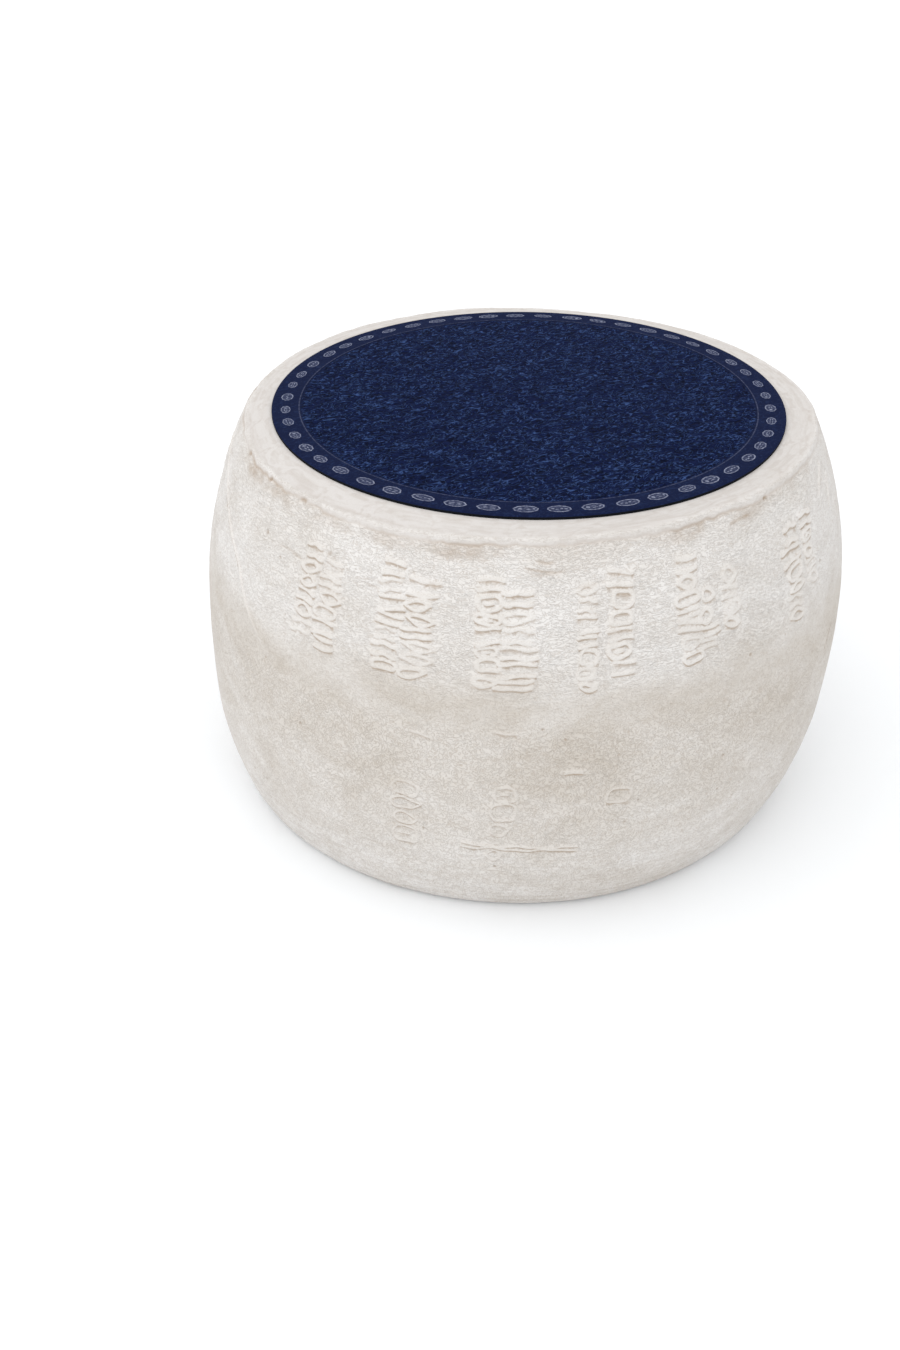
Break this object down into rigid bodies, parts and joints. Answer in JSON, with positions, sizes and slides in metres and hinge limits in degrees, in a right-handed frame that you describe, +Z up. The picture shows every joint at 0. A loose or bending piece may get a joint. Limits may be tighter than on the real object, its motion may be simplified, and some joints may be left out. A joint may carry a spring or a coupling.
{
  "type": "cheese wheel",
  "caption": "Whole uncut wheel of hard cheese: a slumped barrel of pale rind with raised mould marks round its side and a dark blue leatherette label lying on its upper face.",
  "frame": {"origin": "centre of the base, on the surface that the wheel stands on", "axes": "+Z up along the wheel's axis; -Y is the side that faces the viewer, +X is to its right"},
  "size_m": [0.4204, 0.4224, 0.2576],
  "materials": {
    "rind": "dry, finely wrinkled cheese rind, pale greyish cream with soft tan stains and a dusty bloom",
    "label": "dark navy leatherette, pebbled in the field, smooth in the border"
  },
  "bodies": {
    "root": {"cheese_wheel": "rind", "top_label": "label"}
  },
  "joints": []
}
